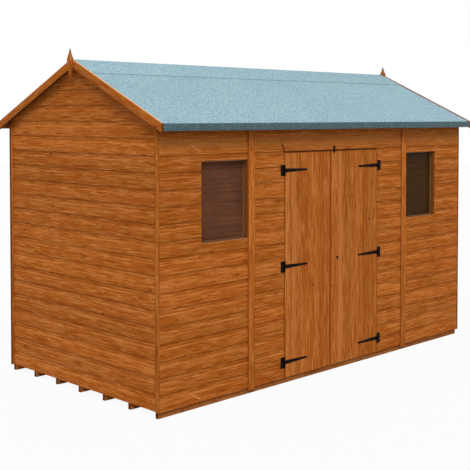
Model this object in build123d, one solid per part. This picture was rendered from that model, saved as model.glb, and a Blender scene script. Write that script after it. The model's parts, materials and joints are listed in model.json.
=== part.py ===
from build123d import *
from math import cos, radians, tan
import os

# Wooden garden shed, in millimetres. +Z is up, +X runs along the length and the doors face -Y.
# The origin is the middle of the footprint, on the ground.

# Overall sizes
length = 3658.0               # over the corner strips
width = 1829.0                # over the front and back boarding
wall_height = 1965.0          # boarding of the long walls, bottom edge to top edge
roof_pitch = 24.65            # degrees

# Clearances
seat_gap = 0.3                # between pieces that bear on each other
running_gap = 5.0             # between a moving piece and a fixed one

# Floor
joist_count = 7
joist_width = 28.0
joist_height = 44.0
deck_thickness = 12.0
floor_setback = 18.5          # floor edge behind the face of the front and back boarding

# Walls
board_thickness = 12.0
board_cover = 115.0           # height of one board that shows
frame_width = 44.0
frame_depth = 34.0
gable_stud_count = 5
back_stud_count = 4
corner_strip_width = 28.0
corner_strip_thickness = 16.0
joint_strip_width = 30.0
joint_strip_thickness = 12.0
joint_strip_drop = 12.0       # below the boarding
joint_strip_gap = 1.0         # between the two strips of a joint
window_panel_length = 885.0   # outer corner to the joint with the door panel

# Windows
window_width = 455.0
window_height = 570.0
window_margin = 30.0          # panel joint to the opening
window_head_drop = 289.0      # top of the wall to the top of the opening
pane_thickness = 4.0
pane_lap = 15.0               # over the framing, on its inner face
bead_size = 6.0

# Doors
door_opening_width = 1165.0
doorway_boards = 15           # whole boards beside the doorway
meeting_offset = -34.5        # meeting line of the two leaves, from the middle of the shed
head_clearance = 6.0
leaf_lift = 2.0               # bottom of the leaves above the bottom of the boarding
ledge_height = 95.0
ledge_thickness = 28.0
ledge_inset_hinge = 28.0
ledge_inset_meeting = 10.0
brace_foot = 90.0             # width of a brace along the ledge that it meets
stop_width = 20.0
stop_depth = 24.0

# Hinges
hinge_plate_height = 83.0
hinge_plate_width = 40.0      # from the pin's axis
hinge_leaf_thickness = 3.0
hinge_strap_length = 262.0    # from the pin's axis
hinge_strap_root = 30.0
hinge_strap_tip = 13.0
hinge_pin_radius = 2.5
hinge_barrel_radius = 5.0
hinge_pin_clearance = 0.05
hinge_axis_offset = 6.0       # in front of the boarding
top_hinge_drop = 137.0        # top of the leaf to the middle of the top hinge
bottom_hinge_rise = 118.0     # bottom of the leaf to the middle of the bottom hinge

# Lock and turn button
keyhole_inset = 84.0          # meeting edge to the keyhole
keyhole_rise = 9.0            # above the middle of the lock case
escutcheon_radius = 12.0
escutcheon_foot_radius = 6.0
escutcheon_foot_drop = 9.0
escutcheon_thickness = 2.5
keyhole_radius = 4.0
keyhole_slot_width = 3.0
keyhole_slot_length = 10.5
lock_case_length = 100.0
lock_case_height = 60.0
lock_case_depth = 16.0
button_length = 58.0
button_width = 18.0
button_thickness = 4.0
button_boss_radius = 7.0
button_inset = 37.0           # meeting edge to the button's middle
button_pivot_drop = 10.0      # top of the leaf to the pivot

# Roof
roof_board_thickness = 12.0
felt_thickness = 3.0
ridge_felt_thickness = 2.5
ridge_felt_reach = 228.0      # measured level, each side of the ridge
felt_drop = 50.0              # turned down at the eaves
eave_overhang = 90.0
gable_overhang = 27.0
rail_width = 44.0
rail_thickness = 28.0
eave_rail_thickness = 28.0
rail_shares = (0.0, 0.33, 0.66)   # places of the rails, from the ridge to the wall
truss_thickness = 28.0
truss_depth = 44.0
truss_collar_drop = 255.0     # ridge to the top of the collar
barge_width = 57.0
barge_thickness = 16.0
barge_rise = 6.0              # above the felt
barge_reach = 4.0             # past the felt at the eaves
finial_thickness = 18.0
finial_width = 60.0
finial_tip_width = 3.0
finial_tip_thickness = 3.0
finial_rise = 76.0            # shoulders to the upper tip
finial_waist = (0.46, 0.44)   # half width and height of the spike's side at its middle, as shares
finial_body = 74.0            # shoulders to where the lower spike starts
finial_neck = 0.86            # width there, as a share of the shoulders
finial_drop = 90.0            # length of the lower spike

# Places worked out from the sizes above
half_length = length / 2
half_width = width / 2
slope = tan(radians(roof_pitch))
bevel = cos(radians(roof_pitch))
gable_face = half_length - corner_strip_thickness
gable_back = gable_face - board_thickness
gable_inside = gable_back - frame_depth
wall_back = half_width - board_thickness
wall_inside = wall_back - frame_depth
deck_level = joist_height + deck_thickness
wall_foot = joist_height
wall_top = wall_foot + wall_height
roof_build = felt_thickness + roof_board_thickness
ridge_level = wall_top + seat_gap + half_width * slope + roof_build / bevel
panel_joint = half_length - window_panel_length
doorway = door_opening_width / 2
doorway_top = wall_foot + doorway_boards * board_cover
leaf_top = doorway_top - head_clearance
leaf_foot = wall_foot + leaf_lift
hinge_axis_x = doorway - running_gap / 2
hinge_axis_y = -half_width - hinge_axis_offset
window_far = panel_joint + window_margin
window_near = window_far + window_width
window_top = wall_top - window_head_drop
window_foot = window_top - window_height
felt_edge = half_width + eave_overhang
barge_edge = felt_edge + barge_reach
felt_foot = ridge_level - felt_edge * slope - felt_drop
barge_inside = half_length + gable_overhang
barge_face = barge_inside + barge_thickness
finial_face = barge_face + finial_thickness
hinge_levels = (
    leaf_foot + bottom_hinge_rise,
    (leaf_foot + bottom_hinge_rise + leaf_top - top_hinge_drop) / 2,
    leaf_top - top_hinge_drop,
)
lock_level = hinge_levels[1]
button_x = meeting_offset + button_inset
button_level = leaf_top - button_pivot_drop


def block(x0, x1, y0, y1, z0, z1):
    """A straight piece between two opposite corners."""
    corner = (Align.MIN, Align.MIN, Align.MIN)
    return Pos(x0, y0, z0) * Box(x1 - x0, y1 - y0, z1 - z0, align=corner)


def along_x(outline, x0, x1):
    """A piece with the outline (y, z), running from x0 to x1."""
    face = Plane.YZ.offset(x0) * Polygon(*outline, align=None)
    return extrude(face, amount=x1 - x0, dir=(1, 0, 0))


def along_y(outline, y0, y1):
    """A piece with the outline (x, z), running from y0 to y1."""
    face = Plane.XZ.offset(-y0) * Polygon(*outline, align=None)
    return extrude(face, amount=y1 - y0, dir=(0, 1, 0))


def mirrored(pieces):
    """The same pieces at the other end of the shed."""
    return [mirror(piece, about=Plane.YZ) for piece in pieces]


def roof_z(y, depth):
    """Height of the plane that lies depth under the felt's top face."""
    return ridge_level - abs(y) * slope - depth / bevel


def sloped(side, y0, y1, depth, thickness, x0, x1):
    """A piece that lies in the roof's slope, with upright cuts at y0 and y1 from the ridge."""
    outline = [
        (side * y0, roof_z(y0, depth)),
        (side * y1, roof_z(y1, depth)),
        (side * y1, roof_z(y1, depth + thickness)),
        (side * y0, roof_z(y0, depth + thickness)),
    ]
    return along_x(outline, x0, x1)


def floor_joists():
    reach = half_width - floor_setback - joist_width / 2
    step = 2 * reach / (joist_count - 1)
    pieces = []
    for number in range(joist_count):
        middle = -reach + number * step
        pieces.append(
            block(-gable_face, gable_face, middle - joist_width / 2, middle + joist_width / 2, 0, joist_height)
        )
    return pieces


def floor_deck():
    end = gable_back - seat_gap
    edge = half_width - floor_setback
    return [block(-end, end, -edge, edge, joist_height, deck_level)]


def gable_wall():
    edge = wall_back - seat_gap
    top = roof_build + seat_gap
    outline = [
        (-edge, wall_foot),
        (edge, wall_foot),
        (edge, roof_z(edge, top)),
        (0, roof_z(0, top)),
        (-edge, roof_z(edge, top)),
    ]
    return [along_x(outline, -gable_face, -gable_back)]


def gable_frame():
    x0 = -gable_back
    x1 = -gable_inside
    edge = wall_inside - seat_gap
    under_boards = roof_build + seat_gap
    rail_top = deck_level + frame_width
    pieces = [block(x0, x1, -edge, edge, deck_level, rail_top)]
    step = (2 * edge - frame_width) / (gable_stud_count - 1)
    for number in range(gable_stud_count):
        y0 = -edge + number * step
        y1 = y0 + frame_width
        under_rake = under_boards + frame_width + seat_gap
        outline = [(y0, rail_top + seat_gap), (y1, rail_top + seat_gap), (y1, roof_z(y1, under_rake))]
        if y0 < 0 < y1:
            outline.append((0, roof_z(0, under_rake)))
        outline.append((y0, roof_z(y0, under_rake)))
        pieces.append(along_x(outline, x0, x1))
    for side in (-1, 1):
        pieces.append(sloped(side, seat_gap, edge, under_boards, frame_width, x0, x1))
    return pieces


def back_wall():
    x0 = -gable_face
    return [block(x0, -seat_gap, wall_back, half_width, wall_foot, wall_top)]


def back_frame():
    x0 = -gable_back + seat_gap
    x1 = -seat_gap
    y0 = wall_inside
    y1 = wall_back
    rail_top = deck_level + frame_width
    head = wall_top - frame_width
    pieces = [
        block(x0, x1, y0, y1, deck_level, rail_top),
        block(x0, x1, y0, y1, head, wall_top),
    ]
    step = (x1 - x0 - frame_width) / (back_stud_count - 1)
    for number in range(back_stud_count):
        stud = x0 + number * step
        pieces.append(block(stud, stud + frame_width, y0, y1, rail_top + seat_gap, head - seat_gap))
    return pieces


def window_wall():
    wall = block(-gable_face, -panel_joint - seat_gap, -half_width, -wall_back, wall_foot, wall_top)
    opening = block(-window_near, -window_far, -half_width - 1, -wall_back + 1, window_foot, window_top)
    return [wall - opening]


def window_frame():
    x0 = -gable_back + seat_gap
    x1 = -panel_joint - seat_gap
    y0 = -wall_back
    y1 = -wall_inside
    rail_top = deck_level + frame_width
    head = wall_top - frame_width
    foot = rail_top + seat_gap
    top = head - seat_gap
    jamb = -window_near - frame_width
    cill = window_foot - frame_width
    lintel = window_top + frame_width
    return [
        block(x0, x1, y0, y1, deck_level, rail_top),
        block(x0, x1, y0, y1, head, wall_top),
        block(x0, x0 + frame_width, y0, y1, foot, top),
        block(jamb, -window_near, y0, y1, foot, top),
        block(-window_far, x1, y0, y1, foot, top),
        block(-window_near + seat_gap, -window_far - seat_gap, y0, y1, cill, window_foot),
        block(-window_near + seat_gap, -window_far - seat_gap, y0, y1, window_top, lintel),
    ]


def window_pane():
    y0 = -wall_inside + seat_gap
    return [
        block(
            -window_near - pane_lap,
            -window_far + pane_lap,
            y0,
            y0 + pane_thickness,
            window_foot - pane_lap,
            window_top + pane_lap,
        )
    ]


def bead_ring(x0, x1, y0, z0, z1):
    """Four beads along the inner edges of a rectangle."""
    y1 = y0 + bead_size
    inner = bead_size + seat_gap
    return [
        block(x0, x0 + bead_size, y0, y1, z0, z1),
        block(x1 - bead_size, x1, y0, y1, z0, z1),
        block(x0 + inner, x1 - inner, y0, y1, z0, z0 + bead_size),
        block(x0 + inner, x1 - inner, y0, y1, z1 - bead_size, z1),
    ]


def window_beads():
    outer_y = -wall_inside - bead_size
    inner_y = -wall_inside + pane_thickness + 2 * seat_gap
    outer = bead_ring(
        -window_near + seat_gap,
        -window_far - seat_gap,
        outer_y,
        window_foot + seat_gap,
        window_top - seat_gap,
    )
    inner = bead_ring(
        -window_near - pane_lap,
        -window_far + pane_lap,
        inner_y,
        window_foot - pane_lap,
        window_top + pane_lap,
    )
    return outer + inner


def door_side_wall():
    return [block(-panel_joint + seat_gap, -doorway, -half_width, -wall_back, wall_foot, doorway_top)]


def door_header_wall():
    x1 = panel_joint - seat_gap
    return [block(-x1, x1, -half_width, -wall_back, doorway_top + seat_gap, wall_top)]


def door_frame():
    x1 = panel_joint - seat_gap
    y0 = -wall_back
    y1 = -wall_inside
    rail_top = deck_level + frame_width
    head = wall_top - frame_width
    post = doorway + frame_width
    pieces = [
        block(-x1, x1, y0, y1, head, wall_top),
        block(-doorway + seat_gap, doorway - seat_gap, y0, y1, doorway_top, doorway_top + frame_width),
    ]
    side = [
        block(-post, -doorway, y0, y1, deck_level, head - seat_gap),
        block(-x1, -x1 + frame_width, y0, y1, rail_top + seat_gap, head - seat_gap),
        block(-x1, -post - seat_gap, y0, y1, deck_level, rail_top),
    ]
    return pieces + side + mirrored(side)


def door_stops():
    y0 = -wall_back + running_gap
    y1 = y0 + stop_depth
    foot = leaf_top - stop_width + head_clearance
    side = [block(-doorway, -doorway + stop_width, y0, y1, deck_level, foot - seat_gap)]
    head = block(-doorway, doorway, y0, y1, foot, doorway_top)
    return side + mirrored(side) + [head]


def corner_strips():
    """Strips over the edges of the gable walls."""
    inner = half_width - corner_strip_width
    pieces = [
        block(-half_length, -gable_face, -half_width, -inner, wall_foot, wall_top),
        block(-half_length, -gable_face, inner, half_width, wall_foot, wall_top),
    ]
    return pieces + mirrored(pieces)


def strip_pair(joint, y0, y1):
    """Two battens side by side over a panel joint."""
    foot = wall_foot - joint_strip_drop
    top = roof_z(half_width + joint_strip_thickness, roof_build + seat_gap)
    near = joint_strip_gap / 2
    far = near + joint_strip_width
    return [
        block(joint - far, joint - near, y0, y1, foot, top),
        block(joint + near, joint + far, y0, y1, foot, top),
    ]


def joint_strips():
    front = -half_width - joint_strip_thickness
    pieces = strip_pair(-panel_joint, front, -half_width)
    pieces += strip_pair(panel_joint, front, -half_width)
    pieces += strip_pair(0, half_width, half_width + joint_strip_thickness)
    return pieces


def eave_rail(side):
    """The rail along the edge of the roof that the felt is turned down over."""
    x1 = barge_inside - seat_gap
    outer = felt_edge - felt_thickness - seat_gap
    inner = outer - eave_rail_thickness
    foot = felt_foot + felt_thickness
    depth = roof_build + seat_gap
    outline = [
        (side * inner, roof_z(inner, depth)),
        (side * outer, roof_z(outer, depth)),
        (side * outer, foot),
        (side * inner, foot),
    ]
    return along_x(outline, -x1, x1)


def roof_rails():
    x1 = gable_inside - seat_gap
    depth = roof_build + seat_gap
    pieces = []
    for side in (-1, 1):
        for share in rail_shares:
            y0 = seat_gap + share * wall_inside
            pieces.append(sloped(side, y0, y0 + rail_width, depth, rail_thickness, -x1, x1))
        pieces.append(eave_rail(side))
    return pieces


def roof_trusses():
    depth = roof_build + rail_thickness + 2 * seat_gap
    reach = wall_inside - seat_gap
    collar_top = ridge_level - truss_collar_drop
    collar_foot = collar_top - truss_depth
    pieces = []
    for joint in (-panel_joint, panel_joint):
        x0 = joint - truss_thickness / 2
        x1 = joint + truss_thickness / 2
        truss = sloped(-1, 0, reach, depth, truss_depth, x0, x1)
        truss += sloped(1, 0, reach, depth, truss_depth, x0, x1)
        middle = depth + truss_depth / 2
        top_reach = (ridge_level - middle / bevel - collar_top) / slope
        foot_reach = (ridge_level - middle / bevel - collar_foot) / slope
        collar = [
            (-foot_reach, collar_foot),
            (foot_reach, collar_foot),
            (top_reach, collar_top),
            (-top_reach, collar_top),
        ]
        truss += along_x(collar, x0, x1)
        pieces.append(truss)
    return pieces


def roof_boards(side):
    x1 = barge_inside - seat_gap
    y1 = felt_edge - felt_thickness - seat_gap
    return [sloped(side, seat_gap, y1, felt_thickness + seat_gap, roof_board_thickness - seat_gap, -x1, x1)]


def felt(side):
    x1 = barge_inside - seat_gap
    back = felt_edge - felt_thickness
    outline = [
        (side * seat_gap, roof_z(seat_gap, 0)),
        (side * felt_edge, roof_z(felt_edge, 0)),
        (side * felt_edge, felt_foot),
        (side * back, felt_foot),
        (side * back, roof_z(back, felt_thickness)),
        (side * seat_gap, roof_z(seat_gap, felt_thickness)),
    ]
    return [along_x(outline, -x1, x1)]


def ridge_felt():
    x1 = barge_inside - seat_gap
    reach = ridge_felt_reach
    under = -seat_gap
    over = -seat_gap - ridge_felt_thickness
    outline = [
        (-reach, roof_z(reach, under)),
        (0, roof_z(0, under)),
        (reach, roof_z(reach, under)),
        (reach, roof_z(reach, over)),
        (0, roof_z(0, over)),
        (-reach, roof_z(reach, over)),
    ]
    return [along_x(outline, -x1, x1)]


def bargeboards():
    pieces = []
    for side in (-1, 1):
        pieces.append(
            sloped(side, seat_gap, barge_edge, -barge_rise, barge_width, -barge_face, -barge_inside)
        )
    return pieces


def finial():
    """A flat piece on the face of the bargeboards, with a spike at each end."""
    shoulder = ridge_level + barge_rise
    top = shoulder + finial_rise
    body_foot = shoulder - finial_body
    foot = body_foot - finial_drop
    half = finial_width / 2
    tip = finial_tip_width / 2
    neck = half * finial_neck
    bow = (half * finial_waist[0], shoulder + finial_rise * finial_waist[1])
    left = ThreePointArc((-half, shoulder), (-bow[0], bow[1]), (-tip, top))
    right = ThreePointArc((tip, top), bow, (half, shoulder))
    crown = Line(left @ 1, right @ 0)
    body = Polyline(right @ 1, (neck, body_foot), (0, foot), (-neck, body_foot), left @ 0)
    outline = make_face(left + crown + right + body)
    flat = extrude(Plane.YZ.offset(-finial_face) * outline, amount=finial_thickness)
    middle = -finial_face + finial_thickness / 2
    thin = finial_tip_thickness / 2
    side = [
        (-barge_face, foot),
        (-barge_face - finial_tip_thickness, foot),
        (-finial_face, body_foot),
        (-finial_face, shoulder),
        (middle - thin, top),
        (middle + thin, top),
        (-barge_face, shoulder),
    ]
    return [flat & along_y(side, -half, half)]


def leaf_span(side):
    """The hinge edge and the meeting edge of a leaf."""
    hinge_edge = side * (doorway - running_gap)
    meeting_edge = meeting_offset + side * running_gap / 2
    return hinge_edge, meeting_edge


def door_leaf(side):
    hinge_edge, meeting_edge = leaf_span(side)
    x0 = min(hinge_edge, meeting_edge)
    x1 = max(hinge_edge, meeting_edge)
    return [block(x0, x1, -half_width, -wall_back, leaf_foot, leaf_top)]


def door_ledges(side):
    hinge_edge, meeting_edge = leaf_span(side)
    hinge_end = hinge_edge - side * ledge_inset_hinge
    meeting_end = meeting_edge + side * ledge_inset_meeting
    x0 = min(hinge_end, meeting_end)
    x1 = max(hinge_end, meeting_end)
    y0 = -wall_back
    y1 = y0 + ledge_thickness
    half = ledge_height / 2
    pieces = [block(x0, x1, y0, y1, level - half, level + half) for level in hinge_levels]
    for lower, upper in zip(hinge_levels, hinge_levels[1:]):
        foot = lower + half + seat_gap
        top = upper - half - seat_gap
        outline = [
            (hinge_end, foot),
            (hinge_end - side * brace_foot, foot),
            (meeting_end, top),
            (meeting_end + side * brace_foot, top),
        ]
        pieces.append(along_y(outline, y0, y1))
    return pieces


def upright(radius, x, y, z0, z1):
    """A round bar standing on end."""
    return Pos(x, y, (z0 + z1) / 2) * Cylinder(radius, z1 - z0)


def hinge_plate(level):
    """The fixed half of the left hinges: a plate, two knuckles and the pin."""
    half = hinge_plate_height / 2
    eye = hinge_strap_root / 2 + seat_gap
    clear = hinge_barrel_radius + hinge_pin_clearance + seat_gap
    y1 = -half_width
    y0 = y1 - hinge_leaf_thickness
    plate = block(-hinge_axis_x - hinge_plate_width, -hinge_axis_x, y0, y1, level - half, level + half)
    plate -= block(-hinge_axis_x - clear, -hinge_axis_x, y0 - 1, y1 + 1, level - eye, level + eye)
    plate += upright(hinge_barrel_radius, -hinge_axis_x, hinge_axis_y, level + eye, level + half)
    plate += upright(hinge_barrel_radius, -hinge_axis_x, hinge_axis_y, level - half, level - eye)
    plate += upright(hinge_pin_radius, -hinge_axis_x, hinge_axis_y, level - half, level + half)
    return plate


def hinge_strap(level):
    """The moving half of the left hinges: a tapered strap with an eye round the pin."""
    root = hinge_strap_root / 2
    tip = hinge_strap_tip / 2
    y1 = -half_width
    y0 = y1 - hinge_leaf_thickness
    x0 = -hinge_axis_x
    x1 = x0 + hinge_strap_length
    outline = [
        (x0, level - root),
        (x1 - tip, level - tip),
        (x1 - tip, level + tip),
        (x0, level + root),
    ]
    strap = along_y(outline, y0, y1)
    strap += Pos(x1 - tip, (y0 + y1) / 2, level) * Rot(90, 0, 0) * Cylinder(tip, hinge_leaf_thickness)
    strap += upright(hinge_barrel_radius, x0, hinge_axis_y, level - root, level + root)
    strap -= upright(hinge_pin_radius + hinge_pin_clearance, x0, hinge_axis_y, level - root, level + root)
    return strap


def hinge_plates():
    left = [hinge_plate(level) for level in hinge_levels]
    return left + mirrored(left)


def hinge_straps():
    return [hinge_strap(level) for level in hinge_levels]


def keyhole_x():
    return meeting_offset + running_gap / 2 + keyhole_inset


def lock_escutcheon():
    middle = keyhole_x()
    face = Pos(0, 0) * Circle(escutcheon_radius)
    face += Pos(0, -escutcheon_foot_drop) * Circle(escutcheon_foot_radius)
    face = make_hull(face.edges())
    face -= Circle(keyhole_radius)
    slot = Rectangle(keyhole_slot_width, keyhole_slot_length, align=(Align.CENTER, Align.MAX))
    face -= slot
    plane = Plane.XZ.offset(half_width).shift_origin((middle, -half_width, lock_level + keyhole_rise))
    return [extrude(plane * face, amount=escutcheon_thickness)]


def lock_case():
    x0 = meeting_offset + running_gap / 2 + ledge_inset_meeting
    y0 = -wall_back + ledge_thickness
    half = lock_case_height / 2
    return [
        block(x0, x0 + lock_case_length, y0, y0 + lock_case_depth, lock_level - half, lock_level + half)
    ]


def turn_button():
    """A bar with rounded ends on a boss that stands it off the door and the header."""
    radius = button_width / 2
    y1 = -half_width - running_gap
    y0 = y1 - button_thickness
    top = button_length - button_width
    face = Pos(0, top / 2) * Rectangle(button_width, top)
    face += Circle(radius)
    face += Pos(0, top) * Circle(radius)
    plane = Plane.XZ.offset(-y1).shift_origin((button_x, y1, button_level))
    bar = extrude(plane * face, amount=y1 - y0)
    boss_plane = Plane.XZ.offset(half_width + seat_gap).shift_origin(
        (button_x, -half_width - seat_gap, button_level)
    )
    boss = extrude(boss_plane * Circle(button_boss_radius), amount=running_gap - seat_gap)
    return [bar + boss]


def shed():
    """Every node by name, as a list of its solids."""
    nodes = {
        "floor_joists": floor_joists(),
        "floor_deck": floor_deck(),
        "left_gable_wall": gable_wall(),
        "left_gable_frame": gable_frame(),
        "back_left_wall": back_wall(),
        "back_frames": back_frame() + mirrored(back_frame()),
        "front_left_wall": window_wall(),
        "front_left_frame": window_frame(),
        "left_window_pane": window_pane(),
        "left_window_beads": window_beads(),
        "door_left_wall": door_side_wall(),
        "door_header_wall": door_header_wall(),
        "door_frame": door_frame(),
        "door_stops": door_stops(),
        "corner_strips": corner_strips(),
        "joint_strips": joint_strips(),
        "roof_rails": roof_rails(),
        "roof_trusses": roof_trusses(),
        "front_roof_boards": roof_boards(-1),
        "back_roof_boards": roof_boards(1),
        "front_felt": felt(-1),
        "back_felt": felt(1),
        "ridge_felt": ridge_felt(),
        "left_bargeboards": bargeboards(),
        "left_finial": finial(),
        "left_door": door_leaf(-1),
        "right_door": door_leaf(1),
        "left_door_ledges": door_ledges(-1),
        "right_door_ledges": door_ledges(1),
        "hinge_plates": hinge_plates(),
        "left_hinge_straps": hinge_straps(),
        "lock_escutcheon": lock_escutcheon(),
        "lock_case": lock_case(),
        "turn_button": turn_button(),
    }
    twins = {
        "right_gable_wall": "left_gable_wall",
        "right_gable_frame": "left_gable_frame",
        "back_right_wall": "back_left_wall",
        "front_right_wall": "front_left_wall",
        "front_right_frame": "front_left_frame",
        "right_window_pane": "left_window_pane",
        "right_window_beads": "left_window_beads",
        "door_right_wall": "door_left_wall",
        "right_bargeboards": "left_bargeboards",
        "right_finial": "left_finial",
        "right_hinge_straps": "left_hinge_straps",
    }
    for name, twin in twins.items():
        nodes[name] = mirrored(nodes[twin])
    return nodes


os.makedirs("parts", exist_ok=True)
for name, pieces in shed().items():
    solids = [solid for piece in pieces for solid in piece.solids()]
    export_step(Compound(children=solids), f"parts/{name}.step")
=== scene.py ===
import bpy
import bmesh
import json
import math
from mathutils import Euler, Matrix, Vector


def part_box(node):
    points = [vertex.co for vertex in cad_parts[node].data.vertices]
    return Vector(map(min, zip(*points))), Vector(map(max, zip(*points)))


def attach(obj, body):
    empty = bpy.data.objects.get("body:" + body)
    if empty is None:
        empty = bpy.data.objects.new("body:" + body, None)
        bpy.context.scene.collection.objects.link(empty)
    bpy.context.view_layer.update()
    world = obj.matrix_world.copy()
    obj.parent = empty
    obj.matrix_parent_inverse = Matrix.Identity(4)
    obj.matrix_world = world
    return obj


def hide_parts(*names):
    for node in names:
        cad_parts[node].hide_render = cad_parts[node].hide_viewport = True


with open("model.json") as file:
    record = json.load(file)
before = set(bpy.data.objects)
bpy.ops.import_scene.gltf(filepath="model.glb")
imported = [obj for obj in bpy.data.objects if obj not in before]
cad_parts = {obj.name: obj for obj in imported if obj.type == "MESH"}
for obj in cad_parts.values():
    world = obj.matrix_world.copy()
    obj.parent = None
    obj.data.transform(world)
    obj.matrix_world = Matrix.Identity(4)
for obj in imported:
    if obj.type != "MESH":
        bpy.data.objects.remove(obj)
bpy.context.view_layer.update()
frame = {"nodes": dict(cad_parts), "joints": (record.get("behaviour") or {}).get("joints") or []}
quarter = math.pi / 2

# how far a normal goes along an axis on a square face, on a cut end and on a face with its arris
square, cutEnd, withArris = 0.95, 0.9, 0.8
# lengths for telling things apart, and for cutting right through
hair, slack, through, longEdge = 0.0001, 0.001, 0.01, 0.1
print("frame loaded")


# selecting and editing

def clearSelection():
    if bpy.context.object and bpy.context.object.mode != "OBJECT":
        bpy.ops.object.mode_set(mode="OBJECT")
    bpy.ops.object.select_all(action="DESELECT")


def takeUp(piece):
    clearSelection()
    piece.select_set(True)
    bpy.context.view_layer.objects.active = piece


def openEdit(piece, pick="FACE"):
    takeUp(piece)
    bpy.ops.object.mode_set(mode="EDIT")
    bpy.ops.mesh.select_mode(type=pick)
    bpy.ops.mesh.select_all(action="DESELECT")


def closeEdit():
    bpy.ops.object.mode_set(mode="OBJECT")


def pickFaces(piece, rule):
    mesh = bmesh.from_edit_mesh(piece.data)
    for face in mesh.faces:
        face.select_set(bool(rule(face.calc_center_median(), face.normal)))
    mesh.select_flush_mode()
    bmesh.update_edit_mesh(piece.data)


def facing(axis, side=1):
    return lambda middle, normal: getattr(normal, axis) * side > square


def pickEdges(piece, rule):
    mesh = bmesh.from_edit_mesh(piece.data)
    for edge in mesh.edges:
        edge.select_set(bool(rule(edge.verts[0].co, edge.verts[1].co)))
    mesh.select_flush_mode()
    bmesh.update_edit_mesh(piece.data)


def extrude(x, y, z):
    bpy.ops.mesh.extrude_region_move(TRANSFORM_OT_translate={"value": (x, y, z)})


def resize(x, y, z, about):
    bpy.ops.transform.resize(value=(x, y, z), center_override=about)


def bevelPicked(width):
    bpy.ops.mesh.bevel(offset=width, segments=2, affect="EDGES")


def newPiece(name):
    piece = bpy.context.object
    piece.name = name
    takeUp(piece)
    bpy.ops.object.transform_apply(location=True, rotation=True, scale=True)
    return piece


def block(name, low, high):
    clearSelection()
    size = [high[i] - low[i] for i in range(3)]
    middle = [(high[i] + low[i]) / 2 for i in range(3)]
    bpy.ops.mesh.primitive_cube_add(size=1, location=middle, scale=size)
    return newPiece(name)


def roundBar(name, sides, radius, low, high):
    clearSelection()
    bpy.ops.mesh.primitive_cylinder_add(vertices=sides, radius=radius, depth=high - low,
                                        location=(0, -(low + high) / 2, 0), rotation=(quarter, 0, 0))
    return newPiece(name)


def modifier(piece, kind, **settings):
    takeUp(piece)
    bpy.ops.object.modifier_add(type=kind)
    added = piece.modifiers[-1]
    for key, value in settings.items():
        setattr(added, key, value)
    bpy.ops.object.modifier_apply(modifier=added.name)


def repeat(piece, count, shift):
    modifier(piece, "ARRAY", count=count, use_relative_offset=False, use_constant_offset=True,
             constant_offset_displace=shift)


def sliced(piece, points, outward, **settings):
    openEdit(piece)
    for point in points:
        bpy.ops.mesh.select_all(action="SELECT")
        bpy.ops.mesh.bisect(plane_co=point, plane_no=outward, **settings)
    closeEdit()


def trim(piece, point, outward):
    sliced(piece, [point], outward, use_fill=True, clear_outer=True)


def cutAway(piece, cutter):
    modifier(piece, "BOOLEAN", operation="DIFFERENCE", object=cutter, solver="EXACT")
    bpy.data.objects.remove(cutter)


def smoothed(piece, degrees=35):
    takeUp(piece)
    bpy.ops.object.shade_smooth_by_angle(angle=math.radians(degrees))


def join(pieces, name):
    clearSelection()
    for piece in pieces:
        piece.select_set(True)
    bpy.context.view_layer.objects.active = pieces[0]
    if len(pieces) > 1:
        bpy.ops.object.join()
    pieces[0].name = name
    return pieces[0]


def movePoints(piece, shift):
    for point in piece.data.vertices:
        point.co += Vector(shift)


def turnPoints(piece, turn):
    piece.data.transform(Euler(turn).to_matrix().to_4x4())


def copiesAt(piece, places, name):
    made = []
    for place in places:
        twin = piece.copy()
        twin.data = piece.data.copy()
        bpy.context.scene.collection.objects.link(twin)
        movePoints(twin, place)
        made.append(twin)
    bpy.data.objects.remove(piece)
    return join(made, name)


def dress(piece, *materials):
    piece.data.materials.clear()
    for material in materials:
        piece.data.materials.append(material)


def paintFaces(piece, number, rule):
    for face in piece.data.polygons:
        if rule(face.center, face.normal):
            face.material_index = number


def camelName(node):
    first, *others = node.split("_")
    return first + "".join(word.capitalize() for word in others)


def settle(piece, body, slot, *nodes):
    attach(piece, body)
    if nodes:
        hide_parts(*nodes)


# node trees

def newMaterial(name):
    material = bpy.data.materials.new(name)
    material.use_nodes = True
    nodes = material.node_tree.nodes
    return material, nodes["Principled BSDF"], nodes.new("ShaderNodeTexCoord").outputs["Object"]


def feed(node, inputs):
    # a socket gets a link, and a plain value is set on the node's own input
    for key, value in inputs.items():
        socket = node.inputs[key]
        if isinstance(value, bpy.types.NodeSocket):
            node.id_data.links.new(value, socket)
        else:
            socket.default_value = value


def add(kind, inputs, tree=None, **settings):
    # a node joins the tree that its inputs come from, unless one is named
    linked = [value for value in inputs.values() if isinstance(value, bpy.types.NodeSocket)]
    node = (tree or linked[0].id_data).nodes.new("ShaderNode" + kind)
    for key, value in settings.items():
        setattr(node, key, value)
    feed(node, inputs)
    return node


def maths(operation, *values):
    return add("Math", dict(enumerate(values)), operation=operation).outputs[0]


def times(first, second):
    return maths("MULTIPLY", first, second)


def timesPlus(first, second, third):
    return maths("MULTIPLY_ADD", first, second, third)


def minus(first, second):
    return maths("SUBTRACT", first, second)


def vector(operation, first, second):
    return add("VectorMath", {0: first, 1: second}, operation=operation).outputs[0]


def vectorLength(value):
    return add("VectorMath", {0: value}, operation="LENGTH").outputs["Value"]


def split(value):
    return add("SeparateXYZ", {0: value}).outputs


def combine(*parts):
    return add("CombineXYZ", dict(enumerate(parts))).outputs[0]


def mix(factor, first, second, blend="MIX"):
    if isinstance(second, tuple):
        second = (*second, 1)
    node = add("Mix", {0: factor, 6: first, 7: second}, data_type="RGBA", blend_type=blend)
    return node.outputs[2]


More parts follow.
